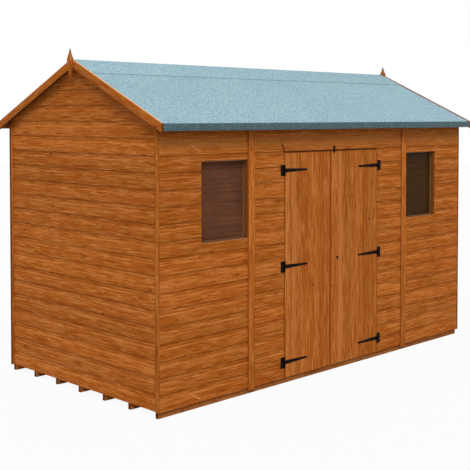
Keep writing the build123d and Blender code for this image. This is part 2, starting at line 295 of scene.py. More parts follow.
def ramp(value, *stops):
    node = add("ValToRGB", {0: value})
    marks = node.color_ramp.elements
    while len(marks) < len(stops):
        marks.new(0.5)
    for mark, (place, colour) in zip(marks, stops):
        mark.position = place
        mark.color = (*colour, 1)
    return node.outputs["Color"]


def step(value, low, high, start=0.0, end=1.0):
    node = add("MapRange", {0: value, 1: low, 2: high, 3: start, 4: end}, clamp=True)
    return node.outputs[0]


def noise(place, scale=1.0, detail=2.0, rough=0.6, distortion=0.0):
    node = add("TexNoise", {"Vector": place, "Scale": scale, "Detail": detail,
                                      "Roughness": rough, "Distortion": distortion})
    return node.outputs["Fac"]


def stretchedNoise(place, stretch, *settings):
    return noise(vector("MULTIPLY", place, stretch), 1.0, *settings)


def alongAndAside(x, y, run):
    # how far a point lies along a line through the origin, and how far to the side of it
    along = maths("ADD", times(x, run[0]), times(y, run[1]))
    aside = minus(times(x, run[1]), times(y, run[0]))
    return along, aside


def coat(surface, colour, rough, specular):
    feed(surface, {"Base Color": colour, "Roughness": rough, "Specular IOR Level": specular})


def bumped(surface, height, strength, distance):
    bump = add("Bump", {"Height": height, "Strength": strength, "Distance": distance})
    feed(surface, {"Normal": bump.outputs[0]})


# wood, with the grain along the first letter of order and board after board along the second

stained = dict(
    light=(0.462, 0.163, 0.038),
    middle=(0.334, 0.0885, 0.0088),
    dark=(0.228, 0.0465, 0.0017),
    knot=(0.120, 0.028, 0.005),
    # seam: the colour of painted shade in the board seams and door gaps, also used for a crack
    seam=(0.070, 0.014, 0.0012),
    fleck=(0.700, 0.350, 0.140),
    # lip: the colour of a painted highlight part way up each board
    lip=(0.590, 0.230, 0.068),
    seamRise=(0.955, 0.985),
    seamStrength=0.37,
    glint=0.42,
    boardTint=(0.91, 1.063),
    roughness=0.66,
    specular=0.053,
)

sawn = dict(
    stained,
    light=(0.450, 0.168, 0.044),
    middle=(0.310, 0.098, 0.020),
    dark=(0.180, 0.050, 0.009),
    seamStrength=0.45,
    glint=0.0,
    roughness=0.80,
    specular=0.10,
)

# layers: stretch along, across and through the board, then detail, roughness and distortion
figure = dict(
    layers=dict(
        broad=((0.9, 9.0, 3.0), 3.0, 0.5, 0.4),
        mottle=((9.0, 40.0, 20.0), 2.0, 0.55, 0.6),
        streaks=((3.5, 70.0, 20.0), 3.0, 0.62, 0.15),
        lines=((6.0, 160.0, 60.0), 2.0),
        pores=((45.0, 900.0, 240.0), 2.0),
        dashes=((7.0, 120.0, 30.0), 1.0, 0.5, 0.3),
        specks=((34.0, 70.0, 30.0), 1.0, 0.5),
    ),
    weights=dict(broad=0.50, mottle=0.40, streaks=0.68, lines=0.90, pores=0.35),
    toneStops=(0.16, 0.50, 0.84),
    strokes=(
        ("dashes", 0.60, 0.68, 0.80, "dark"),
        ("dashes", 0.40, 0.32, 0.85, "light"),
        ("specks", 0.65, 0.73, 0.80, "dark"),
    ),
    boardShift=40.0,
    seedShift=31.0,
    knotCells=(2.9, 8.7, 3.0),
    knotRadius=(0.0054, 0.0117),
    knotShare=0.26,
    knotEdge=(0.75, 1.15, 1.0, 0.0),
    knotStrength=0.80,
    haloStretch=(0.3, 1.0, 0.0),
    haloReach=(0.004, 0.030),
    haloStrength=0.35,
    parting=-0.55,
    fleckShare=0.006,
    fleckAngle=math.radians(32),
    fleckSize=(0.030, 0.0028),
    fleckEdge=(0.5, 1.1, 0.7, 0.0),
    drift=((6.0, 3.0, 1.0), 2.0, 0.5),
    seamFall=(0.012, 0.0),
    seamBroken=(0.36, 0.60, 0.55, 1.0),
    highlightRise=(0.640, 0.655),
    highlightFall=(0.710, 0.690),
    highlightBroken=(0.40, 0.66, 1.0, 0.0),
    markEdge=(0.30, 0.60),
    roughPlay=0.06,
    roughStops=(0.3, 0.7),
    relief=dict(lines=0.6, pores=0.6, knot=-0.3, strength=0.25, distance=0.0015),
)


def knotsAndFlecks(grain):
    # knots and flecks lie in cells of their own, and the grain parts round a knot
    f = figure
    cellSize = f["knotCells"]
    spot = vector("MULTIPLY", grain, cellSize)
    cell = add("TexVoronoi", {"Vector": spot, "Scale": 1.0}, voronoi_dimensions="2D")
    draws = split(cell.outputs["Color"])
    away = vector("SUBTRACT", spot, cell.outputs["Position"])
    away = vector("MULTIPLY", away, (1 / cellSize[0], 1 / cellSize[1], 0.0))
    gaps = split(away)
    knotty = maths("LESS_THAN", draws[0], f["knotShare"])
    radius = step(draws[1], 0.0, 1.0, *f["knotRadius"])
    share = maths("DIVIDE", vectorLength(away), radius)
    knot = times(step(share, *f["knotEdge"]), knotty)
    longReach = vectorLength(vector("MULTIPLY", away, f["haloStretch"]))
    halo = times(step(longReach, *f["haloReach"], 1.0, 0.0), knotty)
    parted = times(times(gaps[1], halo), f["parting"])
    swung = vector("ADD", grain, combine(0.0, parted))
    run = (math.cos(f["fleckAngle"]), -math.sin(f["fleckAngle"]))
    parts = [maths("DIVIDE", distance, size)
             for distance, size in zip(alongAndAside(gaps[0], gaps[1], run), f["fleckSize"])]
    reach = maths("ADD", *[times(part, part) for part in parts])
    chosen = maths("GREATER_THAN", draws[0], 1.0 - f["fleckShare"])
    fleck = times(step(reach, *f["fleckEdge"]), chosen)
    return swung, halo, knot, fleck


def seamed(colour, look, count, grain):
    # a dark uneven line of painted shade in the recess where two boards meet, and a broken painted highlight
    # where a board's scoop begins
    f = figure
    part = maths("FRACT", count)
    line = maths("MAXIMUM", step(part, *look["seamRise"]), step(part, *f["seamFall"]))
    drift = stretchedNoise(grain, *f["drift"])
    uneven = step(drift, *f["seamBroken"])
    colour = mix(times(times(line, uneven), look["seamStrength"]), colour, look["seam"])
    if look["glint"]:
        lip = times(step(part, *f["highlightRise"]), step(part, *f["highlightFall"]))
        bright = times(lip, step(drift, *f["highlightBroken"]))
        colour = mix(times(bright, look["glint"]), colour, look["lip"])
    return colour


def lineMask(along, across, foot, top, width):
    run = Vector(top) - Vector(foot)
    reach = run.length
    run.normalize()
    dx = minus(along, foot[0])
    dz = minus(across, foot[1])
    far, aside = alongAndAside(dx, dz, run)
    inside = times(maths("GREATER_THAN", far, 0.0), maths("LESS_THAN", far, reach))
    near, past = [width * share for share in figure["markEdge"]]
    return times(inside, step(maths("ABSOLUTE", aside), near, past, 1.0, 0.0))


def wood(name, order, seed, look, boards=None, lean=0.0, marks=(), paintedEaveLight=None):
    material, surface, place = newMaterial(name)
    f = figure
    if lean:
        place = add("VectorRotate", {"Vector": place, "Angle": lean},
                    rotation_type="X_AXIS").outputs[0]
    axes = split(place)
    along, across, deep = [axes["XYZ".index(letter)] for letter in order]
    number = seed * f["seedShift"]
    if boards:
        count = maths("DIVIDE", minus(across, boards[0]), boards[1])
        number = maths("ADD", maths("FLOOR", count), number)
    dice = add("TexWhiteNoise", {"W": number}, material.node_tree, noise_dimensions="1D")
    chances = split(dice.outputs["Color"])
    u = timesPlus(chances[0], f["boardShift"], along)
    v = timesPlus(chances[1], f["boardShift"], across)
    grain = combine(u, v, deep)
    swung, halo, knot, fleck = knotsAndFlecks(grain)
    layers = {}
    for key, settings in f["layers"].items():
        layers[key] = stretchedNoise(grain if key == "pores" else swung, *settings)

    tone = 0.5
    for key, weight in f["weights"].items():
        tone = timesPlus(minus(layers[key], 0.5), weight, tone)
    paints = (look["dark"], look["middle"], look["light"])
    colour = ramp(tone, *zip(f["toneStops"], paints))
    for key, low, high, strength, paint in f["strokes"]:
        colour = mix(step(layers[key], low, high, 0.0, strength), colour, look[paint])
    colour = mix(times(halo, f["haloStrength"]), colour, look["dark"])
    colour = mix(times(knot, f["knotStrength"]), colour, look["knot"])
    colour = mix(fleck, colour, look["fleck"])
    tint = step(chances[2], 0.0, 1.0, *look["boardTint"])
    colour = mix(1.0, colour, combine(tint, tint, tint), "MULTIPLY")
    if boards:
        colour = seamed(colour, look, count, grain)
    # a painted band of light on the boards just under the eaves
    if paintedEaveLight:
        low, middle, high, strength = paintedEaveLight
        eaveLight = times(step(across, low, middle), step(across, high, middle))
        colour = mix(times(eaveLight, strength), colour, look["light"])
    for foot, top, width, paint, strength in marks:
        mask = lineMask(along, across, foot, top, width)
        colour = mix(times(mask, strength), colour, look[paint])

    rough, play = look["roughness"], f["roughPlay"]
    rough = step(layers["streaks"], *f["roughStops"], rough + play, rough - play)
    coat(surface, colour, rough, look["specular"])
    relief = f["relief"]
    height = timesPlus(layers["lines"], relief["lines"], times(layers["pores"], relief["pores"]))
    height = timesPlus(knot, relief["knot"], height)
    bumped(surface, height, relief["strength"], relief["distance"])
    return material


def edgeMaterial(name, colour, spread):
    material, surface, place = newMaterial(name)
    speckle = noise(place, scale=60.0, detail=5.0)
    fibres = noise(place, scale=420.0)
    darker = tuple(part * (1 - spread) for part in colour)
    shade = timesPlus(fibres, 0.4, times(speckle, 0.6))
    coat(surface, ramp(shade, (0.35, darker), (0.65, colour)), rough=0.75, specular=0.06)
    bumped(surface, shade, strength=0.3, distance=0.001)
    return material


def endGrainMaterial(name, pale, dark):
    material, surface, place = newMaterial(name)
    rings = add("TexWave", {"Vector": place, "Scale": 55.0, "Distortion": 2.5, "Detail": 2.0,
                                      "Detail Scale": 1.2}, wave_type="RINGS").outputs["Fac"]
    pores = noise(place, scale=500.0)
    checks = noise(place, scale=38.0, detail=3.0)
    tone = timesPlus(rings, 0.35, times(checks, 0.65))
    tone = timesPlus(minus(pores, 0.5), 0.5, tone)
    coat(surface, ramp(tone, (0.25, dark), (0.75, pale)), rough=0.85, specular=0.05)
    bumped(surface, tone, strength=0.4, distance=0.0012)
    return material


roofing = dict(
    face=((0.115, 0.238, 0.298), (0.262, 0.395, 0.450), (0.440, 0.572, 0.612)),
    flap=((0.036, 0.060, 0.068), (0.066, 0.110, 0.122), (0.098, 0.160, 0.176)),
    stops=(0.30, 0.50, 0.70),
    # joint: the colour of the painted shade along the ridge cap's edge
    joint=(0.085, 0.155, 0.180),
    capShadeRise=(-0.004, -0.001),
    capShadeFall=(0.007, 0.004),
    patch=72.0,
    granules=330.0,
    grit=0.32,
    clouding=0.14,
)


def feltMaterial(name, turn, lap=None):
    # blue grey on the slope, darker past the turn at the eaves, and a broken line of painted shade along the
    # edge where the cap laps over
    material, surface, place = newMaterial(name)
    r = roofing
    out = maths("ABSOLUTE", split(place)[1])
    patches = noise(place, r["patch"], 2.0, 0.65)
    grit = add("TexVoronoi", {"Vector": place, "Scale": r["granules"]})
    clouds = noise(place, scale=2.2, detail=3.0, rough=0.5)
    bright = split(grit.outputs["Color"])[0]
    tone = timesPlus(bright, r["grit"], times(patches, 1 - r["grit"]))
    shade = ramp(tone, *zip(r["stops"], r["face"]))
    shade = mix(step(clouds, 0.40, 0.70, 0.0, r["clouding"]), shade, r["face"][0])
    # painted shade under the edge of the ridge cap
    if lap:
        rise, fall = [step(out, lap + a, lap + b) for a, b in (r["capShadeRise"], r["capShadeFall"])]
        broken = step(patches, 0.35, 0.60, 0.45, 0.85)
        shade = mix(times(times(rise, fall), broken), shade, r["joint"])
    flap = ramp(tone, *zip(r["stops"], r["flap"]))
    coat(surface, mix(step(out, turn - 0.002, turn + 0.002), shade, flap), rough=0.92, specular=0.15)
    height = timesPlus(grit.outputs["Distance"], -0.5, patches)
    bumped(surface, height, strength=0.5, distance=0.0015)
    return material


blackPaint = dict(sound=(0.0024, 0.0013, 0.0010), worn=(0.0066, 0.0044, 0.0036))
zinc = dict(dull=(0.20, 0.20, 0.21), bright=(0.36, 0.37, 0.38))


def ironMaterial():
    material, surface, place = newMaterial("blackIron")
    skin = noise(place, scale=320.0, detail=3.0)
    wear = noise(place, scale=30.0, detail=4.0)
    colour = ramp(wear, (0.4, blackPaint["sound"]), (0.75, blackPaint["worn"]))
    coat(surface, colour, step(wear, 0.3, 0.8, 0.50, 0.68), specular=0.055)
    bumped(surface, skin, strength=0.25, distance=0.0005)
    return material


def steelMaterial():
    material, surface, place = newMaterial("galvanisedSteel")
    spangle = add("TexVoronoi", {"Vector": place, "Scale": 900.0})
    shade = split(spangle.outputs["Color"])[0]
    colour = ramp(shade, (0.0, zinc["dull"]), (1.0, zinc["bright"]))
    feed(surface, {"Base Color": colour, "Metallic": 0.7, "Roughness": 0.55})
    bumped(surface, spangle.outputs["Distance"], strength=0.2, distance=0.0003)
    return material


def glassMaterial(name, tint, clear):
    material, surface, place = newMaterial(name)
    dust = noise(place, scale=6.0, detail=5.0)
    # the long level strokes are a painted sheen of board lines across the pane
    strokes = stretchedNoise(place, (1.6, 1.0, 55.0), 3.0)
    dustAndSheen = timesPlus(strokes, 0.7, times(dust, 0.3))
    lowTint, highTint = [tuple(share * part for part in tint) for share in (0.68, 1.36)]
    coat(surface, ramp(dustAndSheen, (0.32, lowTint), (0.68, highTint)), step(dust, 0.35, 0.75, 0.02, 0.09), 0.10)
    feed(surface, {"Transmission Weight": clear, "IOR": 1.10})
    return material


wallFoot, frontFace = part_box("front_left_wall")[0].zy
cover = 0.115
rows = (wallFoot, cover)
pitch = math.radians(24.65)
leftLow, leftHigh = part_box("left_door")
rightLow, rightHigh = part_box("right_door")
doorTop = leftHigh.z

doorBoards = dict(
    left=(leftLow.x - 0.051, 0.1185),
    right=(rightLow.x - 0.037, 0.117),
    gap=0.0004,
    arris=0.0009,
    tongue=0.004,
    tonguePlay=0.0008,
    tongueShares=(0.34, 0.40),
    tongueCentre=0.58,
)


def upright(x, width, paint, strength):
    return (leftLow.z, x), (doorTop, x), width, paint, strength


# a line of painted shade in the gap along the top of a door
def topShadeLine(start, end, drop=0.003, width=0.009, strength=0.85):
    return (doorTop - drop, start), (doorTop - drop, end), width, "seam", strength


# marks on the boards: two points along and across the grain, then width, colour and strength
headerMarks = (
    ((leftLow.x - 0.001, doorTop + 0.003), (leftLow.x - 0.028, doorTop + 0.066), 0.013, "seam", 1.0),
    # painted shade in the gap over the doors
    ((leftLow.x - 0.004, doorTop + 0.004), (rightHigh.x, doorTop + 0.004), 0.008, "seam", 0.9),
)
leftMarks = (
    ((-1.530, 1.839), (-1.435, 1.788), 0.006, "fleck", 0.60),
    ((-1.515, 0.107), (-1.445, 0.063), 0.006, "fleck", 0.50),
)
rightMarks = (
    ((1.480, 1.839), (1.572, 1.790), 0.007, "fleck", 0.45),
    ((1.507, 0.101), (1.587, 0.061), 0.007, "fleck", 0.45),
)
leftLeafMarks = (
    upright(-0.150, 0.080, "dark", 0.26),
    upright(-0.470, 0.050, "light", 0.45),
    upright(-0.545, 0.024, "light", 0.35),
    # painted shade in the gaps down both edges of the leaf and along its top
    upright(leftLow.x + 0.002, 0.010, "seam", 0.45),
    upright(leftHigh.x - 0.004, 0.017, "dark", 0.80),
    topShadeLine(leftLow.x, leftHigh.x),
)
rightLeafMarks = (
    upright(0.415, 0.080, "dark", 0.26),
    upright(0.088, 0.050, "light", 0.55),
    # painted shade in the gaps down both edges of the leaf and along its top
    upright(rightLow.x + 0.003, 0.013, "dark", 0.85),
    upright(rightHigh.x - 0.003, 0.010, "dark", 0.75),
    topShadeLine(rightLow.x, rightHigh.x - 0.02),
)
stripLow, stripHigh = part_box("corner_strips")
stripMiddle = stripHigh.y - 0.020
# painted shade along the back edge of the back corner strips, on their faces toward the gables
backStripShade = (((stripLow.z, stripMiddle), (stripHigh.z, stripMiddle), 0.040, "seam", 0.75),)
# painted light under the eaves: bottom, fullest and top heights, then strength
paintedEaveLight = (1.760, 1.845, 1.915, 0.50)

# the back and the far gable get broader, stronger painted shade at the seams and a stronger painted
# highlight, since the sun does not reach them
farLook = dict(stained, seamRise=(0.905, 0.935), seamStrength=0.72, glint=0.50)
doorLook = dict(
    stained,
    light=(0.492, 0.176, 0.043),
    middle=(0.352, 0.096, 0.0105),
    dark=(0.232, 0.049, 0.0024),
    seamStrength=0.28,
    glint=0.0,
)
stripLook = dict(
    doorLook,
    light=(0.520, 0.188, 0.046),
    middle=(0.370, 0.104, 0.0120),
    dark=(0.250, 0.055, 0.0030),
)

frontWood = wood("stainedFrontBoards", "XZY", 1, stained, rows, marks=leftMarks, paintedEaveLight=paintedEaveLight)
doorSideWood = wood("stainedDoorPanel", "XZY", 2, stained, rows, paintedEaveLight=paintedEaveLight)
headerWood = wood("stainedHeader", "XZY", 2, stained, rows, marks=headerMarks, paintedEaveLight=paintedEaveLight)
rightWood = wood("stainedRightPanel", "XZY", 3, stained, rows, marks=rightMarks, paintedEaveLight=paintedEaveLight)
gableWood = wood("stainedGableBoards", "YZX", 4, stained, rows)
farGableWood = wood("stainedFarGable", "YZX", 5, farLook, rows)
backWood = wood("stainedBackBoards", "XZY", 6, farLook, rows)
leftDoorWood = wood("stainedLeftDoor", "ZXY", 7, doorLook, doorBoards["left"], marks=leftLeafMarks)
rightDoorWood = wood("stainedRightDoor", "ZXY", 8, doorLook, doorBoards["right"], marks=rightLeafMarks)
plainUpright = wood("stainedUpright", "ZXY", 9, stained)
stripWood = wood("stainedJointStrip", "ZXY", 18, stripLook)
backStrip = wood("stainedBackStrip", "ZYX", 10, stained, marks=backStripShade)
bargeFront = wood("stainedBargeFront", "YZX", 11, stained, lean=-pitch)
bargeBack = wood("stainedBargeBack", "YZX", 12, stained, lean=pitch)
sawnLong = wood("sawnLong", "XZY", 13, sawn)
sawnAcross = wood("sawnAcross", "YZX", 14, sawn)
sawnUpright = wood("sawnUpright", "ZXY", 15, sawn)
deckWood = wood("sawnDeckBoards", "YXZ", 16, sawn, (0.0, cover))
roofWood = wood("sawnRoofBoards", "XYZ", 17, sawn, (0.0, cover * math.cos(pitch)))
# the window chamfer is paler: bare cut wood, and a painted highlight along it
bareWoodAndHighlight = edgeMaterial("bareCutWoodAndHighlight", (0.50, 0.215, 0.075), 0.35)
# dark edges: painted shade on the right corner strips and on the bargeboards' undersides and dark top edges;
# the finial tips are also darker
darkEdge = edgeMaterial("stainedDarkEdge", (0.085, 0.025, 0.006), 0.4)
# painted shade on the sides of the joint strips
stripSide = edgeMaterial("stripSide", (0.310, 0.095, 0.018), 0.30)
# painted shade on the window reveals and on the studs and rails lining the openings
revealShade = edgeMaterial("shadedReveal", (0.205, 0.060, 0.009), 0.35)
# a painted highlight on the lit top edge of the left bargeboard's front slope
topHighlight = edgeMaterial("paintedTopHighlight", (0.74, 0.42, 0.21), 0.25)
beadEdge = edgeMaterial("glazingBead", (0.190, 0.100, 0.060), 0.25)
endGrain = endGrainMaterial("endGrain", (0.152, 0.042, 0.010), (0.056, 0.014, 0.003))
feltTurn = abs(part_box("front_felt")[0].y) - 0.0075
roofFelt = feltMaterial("mineralFelt", feltTurn, abs(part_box("ridge_felt")[0].y))
capFelt = feltMaterial("ridgeFelt", feltTurn)
iron = ironMaterial()
steel = steelMaterial()
dullSteel = edgeMaterial("weatheredNailHeads", (0.075, 0.105, 0.115), 0.3)
# the brown tints are painted shade of the dark inside seen through each pane
leftGlass = glassMaterial("leftWindowGlass", (0.374, 0.159, 0.080), 0.78)
rightGlass = glassMaterial("rightWindowGlass", (0.206, 0.098, 0.025), 0.82)
print("materials made")


# shiplap walls

shiplap = dict(
    gap=0.0015,
    lip=0.009,
    lipDepth=0.0040,
    play=0.0004,
    lipPlay=0.0005,
    scoop=((0.0022, 0.0014), (0.0034, 0.0026), (0.006, 0.0034), (0.010, 0.0037), (0.0164, 0.0037)),
    arris=0.001,
)


def shiplapBoard(length, thick):
    s = shiplap
    face = cover - s["gap"] - sum(rise for rise, setback in s["scoop"])
    board = block("board", (-length / 2, 0, s["lip"]), (length / 2, thick, face))
    openEdit(board)
    pickFaces(board, facing("z"))
    depth = 0
    for rise, setback in s["scoop"]:
        extrude(0, 0, rise)
        if setback > depth:
            resize(1, (thick - setback) / (thick - depth), 1, (0, thick, 0))
        depth = setback
    extrude(0, 0, 0)
    resize(1, (thick - s["lipDepth"]) / (thick - depth), 1, (0, thick, 0))
    extrude(0, 0, s["gap"] + s["lip"] - s["lipPlay"])
    pickFaces(board, facing("z", -1))
    extrude(0, 0, 0)
    resize(1, (s["lipDepth"] - s["play"]) / thick, 1, (0, 0, 0))
    extrude(0, 0, -s["lip"])
    bpy.ops.mesh.select_all(action="DESELECT")
    bpy.ops.mesh.select_mode(type="EDGE")
    pickEdges(board, lambda a, b: max(abs(a.y), abs(b.y), abs(a.z), abs(b.z)) < hair)
    bevelPicked(s["arris"])
    closeEdit()
    return board


def shiplapWall(node, turn, material):
    low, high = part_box(node)
    thick, length = sorted((high.x - low.x, high.y - low.y))
    wall = shiplapBoard(length, thick)
    repeat(wall, math.ceil((high.z - low.z) / cover), (0, 0, cover))
    start = round((low.z - wallFoot) / cover) * cover + wallFoot
    turnPoints(wall, (0, 0, turn))
    middle = (low + high) / 2
    front = Euler((0, 0, turn)).to_matrix() @ Vector((0, thick / 2, 0))
    movePoints(wall, Vector((middle.x, middle.y, start)) - front)
    trim(wall, (0, 0, high.z), (0, 0, 1))
    if start < low.z:
        trim(wall, (0, 0, low.z), (0, 0, -1))
    if "gable" in node:
        for side in (-1, 1):
            trim(wall, (0, 0, high.z), (0, side * math.sin(pitch), math.cos(pitch)))
    wall.name = camelName(node.replace("wall", "boards"))
    smoothed(wall, 50)
    dress(wall, material, bareWoodAndHighlight, revealShade)
    return wall


windowCut = dict(lap=0.015, chamfer=0.003, bead=0.007)


def cutWindow(wall, node, paneNode):
    low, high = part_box(paneNode)
    wallLow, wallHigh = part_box(node)
    lap = windowCut["lap"]
    chamfer = windowCut["chamfer"]
    wide = high.x - low.x - 2 * lap
    tall = high.z - low.z - 2 * lap
    middle = (low + high) / 2
    face = wallLow.y + chamfer
    cutter = block("cutter", (middle.x - wide / 2, face, middle.z - tall / 2),
                   (middle.x + wide / 2, wallHigh.y + through, middle.z + tall / 2))
    openEdit(cutter)
    pickFaces(cutter, facing("y", -1))
    extrude(0, 0, 0)
    bpy.ops.transform.translate(value=(0, -2 * chamfer, 0))
    resize(1 + 4 * chamfer / wide, 1, 1 + 4 * chamfer / tall, (middle.x, 0, middle.z))
    closeEdit()
    cutAway(wall, cutter)
    reach = Vector((wide / 2 + 2 * chamfer, 1, tall / 2 + 2 * chamfer))

    def nearby(centre):
        return abs(centre.x - middle.x) < reach.x and abs(centre.z - middle.z) < reach.z

    def onChamfer(centre, normal):
        return nearby(centre) and 0.4 < abs(normal.y) < 0.9 and centre.y < face + hair

    # painted shade on the reveals and on the chamfer down the right side of each opening; the rest of the
    # chamfer is paler
    paintFaces(wall, 2, lambda centre, normal: nearby(centre) and max(abs(normal.x), abs(normal.z)) > square)
    paintFaces(wall, 1, onChamfer)
    paintFaces(wall, 2, lambda centre, normal: onChamfer(centre, normal) and normal.x < -0.3)
    return middle, wide, tall


def glazingBead(name, pane, middle, wide, tall):
    # a thin bead run round the opening where the glass meets the boards
    size = windowCut["bead"]
    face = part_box(pane)[0].y
    bars = []
    for side in (-1, 1):
        x = middle.x + side * (wide - size) / 2
        bars.append(block("bar", (x - size / 2, face - size, middle.z - tall / 2),
                          (x + size / 2, face, middle.z + tall / 2)))
        z = middle.z + side * (tall - size) / 2
        bars.append(block("bar", (middle.x - wide / 2 + size, face - size, z - size / 2),
                          (middle.x + wide / 2 - size, face, z + size / 2)))
    bead = join(bars, name)
    dress(bead, beadEdge)
    settle(bead, "shell", "sawn_wood")


walls = (
    ("front_left_wall", 0, frontWood),
    ("front_right_wall", 0, rightWood),
    ("door_left_wall", 0, doorSideWood),
    ("door_right_wall", 0, doorSideWood),
    ("door_header_wall", 0, headerWood),
    ("left_gable_wall", -quarter, gableWood),
    ("right_gable_wall", quarter, farGableWood),
    ("back_left_wall", 2 * quarter, backWood),
    ("back_right_wall", 2 * quarter, backWood),
)
windows = {"front_left_wall": "left_window_pane", "front_right_wall": "right_window_pane"}
for node, turn, material in walls:
    wall = shiplapWall(node, turn, material)
    if node in windows:
        opening = cutWindow(wall, node, windows[node])
        glazingBead(wall.name + "Bead", windows[node], *opening)
    settle(wall, "shell", "stained_wood", node)
print("walls boarded")


# door leaves

def doorBoard(boardCover, thick, height):
    d = doorBoards
    board = block("board", (0, 0, 0), (boardCover - d["gap"], thick, height))
    openEdit(board, "EDGE")
    pickEdges(board, lambda a, b: abs(a.z - b.z) > longEdge and a.y < slack)
    bevelPicked(d["arris"])
    bpy.ops.mesh.select_mode(type="FACE")
    pushes = (d["tongue"], d["tongue"] + d["tonguePlay"])
    for side, push, share in zip((1, -1), pushes, d["tongueShares"]):
        pickFaces(board, facing("x", side))
        extrude(0, 0, 0)
        resize(1, share, 1, (0, thick * d["tongueCentre"], 0))
        extrude(push, 0, 0)
    closeEdit()
    return board


keyhole = dict(radius=0.0038, sides=16, slotWidth=0.003, slotDrop=0.0100)


def cutKeyhole(leaf, low, high):
    escLow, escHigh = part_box("lock_escutcheon")
    x = (escLow.x + escHigh.x) / 2
    z = escHigh.z - (escHigh.x - escLow.x) / 2
    hole = roundBar("cutter", keyhole["sides"], keyhole["radius"], -through, high.y - low.y + through)
    movePoints(hole, (x, high.y, z))
    cutAway(leaf, hole)
    half = keyhole["slotWidth"] / 2
    bottom = z - keyhole["slotDrop"]
    slot = block("cutter", (x - half, low.y - through, bottom), (x + half, high.y + through, z))
    cutAway(leaf, slot)


def boardedLeaf(side, material):
    node = side + "_door"
    low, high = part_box(node)
    start, boardCover = doorBoards[side]
    leaf = doorBoard(boardCover, high.y - low.y, high.z - low.z)
    repeat(leaf, math.ceil((high.x - start) / boardCover), (boardCover, 0, 0))
    movePoints(leaf, (start, low.y, low.z))
    trim(leaf, (low.x, 0, 0), (-1, 0, 0))
    trim(leaf, (high.x, 0, 0), (1, 0, 0))
    if side == "right":
        cutKeyhole(leaf, low, high)
    leaf.name = side + "DoorBoards"
    dress(leaf, material, endGrain)
    paintFaces(leaf, 1, lambda middle, normal: abs(normal.z) > cutEnd)
    settle(leaf, side + "_leaf", "stained_wood", node)


boardedLeaf("left", leftDoorWood)
boardedLeaf("right", rightDoorWood)
print("doors boarded")


# floor and roof boards, tongued and laid side by side

laid = dict(gap=0.0012, arris=0.0012, tongue=0.005, tongueShares=(0.30, 0.36))


def tonguedBoards(count, length, thick):
    board = block("board", (0, 0, 0), (length, cover - laid["gap"], thick))
    openEdit(board, "EDGE")
    pickEdges(board, lambda a, b: abs(a.x - b.x) > longEdge)
    bevelPicked(laid["arris"])
    bpy.ops.mesh.select_mode(type="FACE")
    for side, share in zip((1, -1), laid["tongueShares"]):
        pickFaces(board, facing("y", side))
        extrude(0, 0, 0)
        resize(1, 1, share, (0, 0, thick * 0.5))
        extrude(0, laid["tongue"], 0)
    closeEdit()
    repeat(board, count, (0, cover, 0))
    return board


def layDeck():
    low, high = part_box("floor_deck")
    deck = tonguedBoards(math.ceil((high.x - low.x) / cover) + 1, high.y - low.y, high.z - low.z)
    turnPoints(deck, (0, 0, -quarter))
    firstBoard = math.floor(low.x / cover) * cover
    movePoints(deck, (firstBoard, high.y, low.z))
    trim(deck, (low.x, 0, 0), (-1, 0, 0))
    trim(deck, (high.x, 0, 0), (1, 0, 0))
    deck.name = "floorBoards"
    dress(deck, deckWood)
    settle(deck, "shell", "sawn_wood", "floor_deck")


def layRoof(node, side):
    low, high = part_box(node)
    run = high.y - low.y
    thick = (high.z - low.z) * math.cos(pitch) - run * math.sin(pitch)
    boards = tonguedBoards(math.ceil(run / math.cos(pitch) / cover) + 1, high.x - low.x, thick)
    if side < 0:
        turnPoints(boards, (0, 0, 2 * quarter))
        movePoints(boards, (high.x - low.x, 0, 0))
    turnPoints(boards, (-side * pitch, 0, 0))
    inner = low.y if side > 0 else high.y
    top = high.z + abs(inner) * math.tan(pitch)
    movePoints(boards, (low.x, 0, top - thick / math.cos(pitch)))
    trim(boards, (0, low.y, 0), (0, -1, 0))
    trim(boards, (0, high.y, 0), (0, 1, 0))
    boards.name = camelName(node)
    dress(boards, roofWood)
    settle(boards, "shell", "sawn_wood", node)


layDeck()
layRoof("front_roof_boards", -1)
layRoof("back_roof_boards", 1)
print("floor and roof boarded")


# pieces that keep their shape and get soft arrises

def softened(node, width, segments=2, angle=30):
    source = frame["nodes"][node]
    piece = bpy.data.objects.new(camelName(node), source.data.copy())
    bpy.context.scene.collection.objects.link(piece)
    openEdit(piece)
    bpy.ops.mesh.select_all(action="SELECT")
    bpy.ops.mesh.remove_doubles(threshold=0.00005)
    bpy.ops.mesh.dissolve_limited(angle_limit=math.radians(1))
    closeEdit()
    modifier(piece, "BEVEL", width=width, segments=segments, limit_method="ANGLE",
             angle_limit=math.radians(angle), use_clamp_overlap=True)
    smoothed(piece)
    return piece


def paintByRun(piece):
    # every timber gets the grain of its longest side, and end grain where it is cut across
    mesh = bmesh.new()
    mesh.from_mesh(piece.data)
    left = set(mesh.faces)
    while left:
        group = []
        waiting = [left.pop()]
        while waiting:
            face = waiting.pop()
            group.append(face)
            for edge in face.edges:
                for other in edge.link_faces:
                    if other in left:
                        left.remove(other)
                        waiting.append(other)
        points = [point.co for face in group for point in face.verts]
        sides = [max(p[i] for p in points) - min(p[i] for p in points) for i in range(3)]
        run = sides.index(max(sides))
        for face in group:
            face.material_index = 3 if abs(face.normal[run]) > cutEnd else run
    mesh.to_mesh(piece.data)
    mesh.free()


timbers = (
    "floor_joists", "left_gable_frame", "right_gable_frame", "back_frames", "front_left_frame",
    "front_right_frame", "door_frame", "door_stops", "roof_rails", "roof_trusses",
    "left_window_beads", "right_window_beads",
)
openings = [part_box(pane) for pane in windows.values()]
panelPlay = 0.0005


def inOpening(middle, normal):
    # the sides of the studs and rails that line a window opening, which get painted shade
    if abs(normal.y) > 0.5 or middle.y > 0:
        return False
    inset = windowCut["lap"]
    for low, high in openings:
        across = low.x - slack < middle.x - inset * normal.x < high.x + slack
        if across and low.z - slack < middle.z - inset * normal.z < high.z + slack:
            return True
    return False


